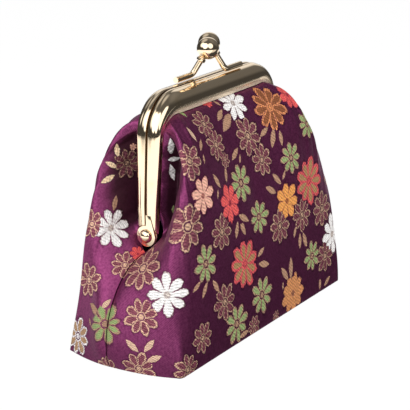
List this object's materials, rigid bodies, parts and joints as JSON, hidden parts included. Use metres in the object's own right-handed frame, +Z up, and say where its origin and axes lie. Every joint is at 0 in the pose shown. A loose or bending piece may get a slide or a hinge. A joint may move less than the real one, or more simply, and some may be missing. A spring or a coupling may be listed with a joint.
{
  "type": "clasp purse",
  "caption": "Soft boxed brocade purse gathered into a hinged gilt channel frame that closes with a crossed ball clasp.",
  "frame": {"origin": "middle of the base, on the table", "axes": "+X along the purse's width, -Y towards its front, +Z up"},
  "size_m": [0.1292, 0.0504, 0.1096],
  "materials": {
    "gilt_frame": "polished pale gold plate",
    "gilt_clasp": "polished pale gold plate",
    "gilt_rivet": "polished gold plate",
    "brocade": "plum satin brocade with woven flowers",
    "lining": "plain plum lining",
    "packing_cord": "twisted paper cord"
  },
  "bodies": {
    "bag": {"front_panel": "brocade", "rear_panel": "brocade", "front_lining": "lining", "rear_lining": "lining", "left_rivet": "gilt_rivet", "right_rivet": "gilt_rivet"},
    "front_half": {"front_frame": "gilt_frame", "front_clasp_stem": "gilt_clasp", "front_clasp_ball": "gilt_clasp", "front_packing_cord": "packing_cord"},
    "rear_half": {"rear_frame": "gilt_frame", "rear_clasp_stem": "gilt_clasp", "rear_clasp_ball": "gilt_clasp", "rear_packing_cord": "packing_cord"}
  },
  "joints": [
    {"name": "front_hinge", "type": "hinge", "parent": "bag", "child": "front_half", "pos_m": [0, 0, 0.0438], "axis": [1, 0, 0], "range_deg": [0, 50], "deforming": ["front_panel", "front_lining"]},
    {"name": "rear_hinge", "type": "hinge", "parent": "bag", "child": "rear_half", "pos_m": [0, 0, 0.0438], "axis": [-1, 0, 0], "range_deg": [0, 50], "deforming": ["rear_panel", "rear_lining"]}
  ]
}
